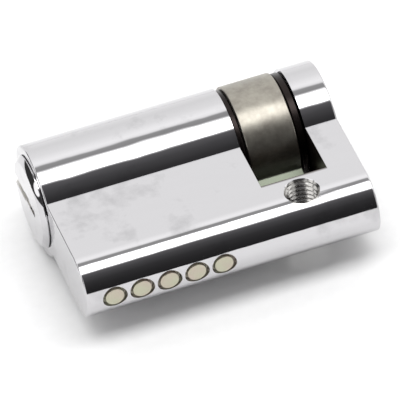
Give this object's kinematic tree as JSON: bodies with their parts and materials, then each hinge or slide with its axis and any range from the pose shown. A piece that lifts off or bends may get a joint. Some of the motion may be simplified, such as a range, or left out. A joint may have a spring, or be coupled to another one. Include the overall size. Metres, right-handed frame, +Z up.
{
  "type": "profile lock cylinder",
  "caption": "Single profile lock cylinder for a door lock: key-turned pin plug drives a lobed cam, and one threaded hole fixes it in the lock case.",
  "frame": {"origin": "centre of the fixing screw's hole, half way through the flange", "axes": "+X along the plug from the key end to the closed end, +Y from the flange to the round, +Z up along the fixing hole, with the cylinder lying on its side"},
  "size_m": [0.0459, 0.033, 0.017],
  "materials": {
    "chrome_plate": "bright chrome plating on brass",
    "plated_plug": "bright chrome plating on brass",
    "satin_steel": "satin nickel on hardened steel",
    "spring_steel_black": "blackened spring steel",
    "pin_brass": "turned",
    "spring_wire": "drawn wire",
    "plug_brass": "pale nickel brass, pressed in"
  },
  "bodies": {
    "housing": {"housing": "chrome_plate", "spring_1": "spring_wire", "spring_2": "spring_wire", "spring_3": "spring_wire", "spring_4": "spring_wire", "spring_5": "spring_wire", "chamber_plug_1": "plug_brass", "chamber_plug_2": "plug_brass", "chamber_plug_3": "plug_brass", "chamber_plug_4": "plug_brass", "chamber_plug_5": "plug_brass"},
    "plug": {"plug": "plated_plug", "retaining_clip": "spring_steel_black", "cam": "satin_steel", "thrust_washer": "spring_steel_black"},
    "key_pin_1": {"key_pin_1": "pin_brass"},
    "driver_pin_1": {"driver_pin_1": "pin_brass"},
    "key_pin_2": {"key_pin_2": "pin_brass"},
    "driver_pin_2": {"driver_pin_2": "pin_brass"},
    "key_pin_3": {"key_pin_3": "pin_brass"},
    "driver_pin_3": {"driver_pin_3": "pin_brass"},
    "key_pin_4": {"key_pin_4": "pin_brass"},
    "driver_pin_4": {"driver_pin_4": "pin_brass"},
    "key_pin_5": {"key_pin_5": "pin_brass"},
    "driver_pin_5": {"driver_pin_5": "pin_brass"}
  },
  "joints": [
    {"name": "plug_turn", "type": "hinge", "parent": "housing", "child": "plug", "pos_m": [0, 0.0195, 0], "axis": [1, 0, 0], "continuous": true},
    {"name": "key_pin_1_slide", "type": "slide", "parent": "plug", "child": "key_pin_1", "axis": [0, 1, 0], "range_m": [0, 0.00162]},
    {"name": "driver_pin_1_slide", "type": "slide", "parent": "housing", "child": "driver_pin_1", "axis": [0, -1, 0], "range_m": [0, 0.0017], "stiffness_N_per_m": 180, "springref_m": -0.003, "deforming": ["spring_1"]},
    {"name": "key_pin_2_slide", "type": "slide", "parent": "plug", "child": "key_pin_2", "axis": [0, 1, 0], "range_m": [0, 0.00062]},
    {"name": "driver_pin_2_slide", "type": "slide", "parent": "housing", "child": "driver_pin_2", "axis": [0, -1, 0], "range_m": [0, 0.0017], "stiffness_N_per_m": 180, "springref_m": -0.003, "deforming": ["spring_2"]},
    {"name": "key_pin_3_slide", "type": "slide", "parent": "plug", "child": "key_pin_3", "axis": [0, 1, 0], "range_m": [0, 0.00122]},
    {"name": "driver_pin_3_slide", "type": "slide", "parent": "housing", "child": "driver_pin_3", "axis": [0, -1, 0], "range_m": [0, 0.0017], "stiffness_N_per_m": 180, "springref_m": -0.003, "deforming": ["spring_3"]},
    {"name": "key_pin_4_slide", "type": "slide", "parent": "plug", "child": "key_pin_4", "axis": [0, 1, 0], "range_m": [0, 0.00042]},
    {"name": "driver_pin_4_slide", "type": "slide", "parent": "housing", "child": "driver_pin_4", "axis": [0, -1, 0], "range_m": [0, 0.0017], "stiffness_N_per_m": 180, "springref_m": -0.003, "deforming": ["spring_4"]},
    {"name": "key_pin_5_slide", "type": "slide", "parent": "plug", "child": "key_pin_5", "axis": [0, 1, 0], "range_m": [0, 0.00092]},
    {"name": "driver_pin_5_slide", "type": "slide", "parent": "housing", "child": "driver_pin_5", "axis": [0, -1, 0], "range_m": [0, 0.0017], "stiffness_N_per_m": 180, "springref_m": -0.003, "deforming": ["spring_5"]}
  ]
}
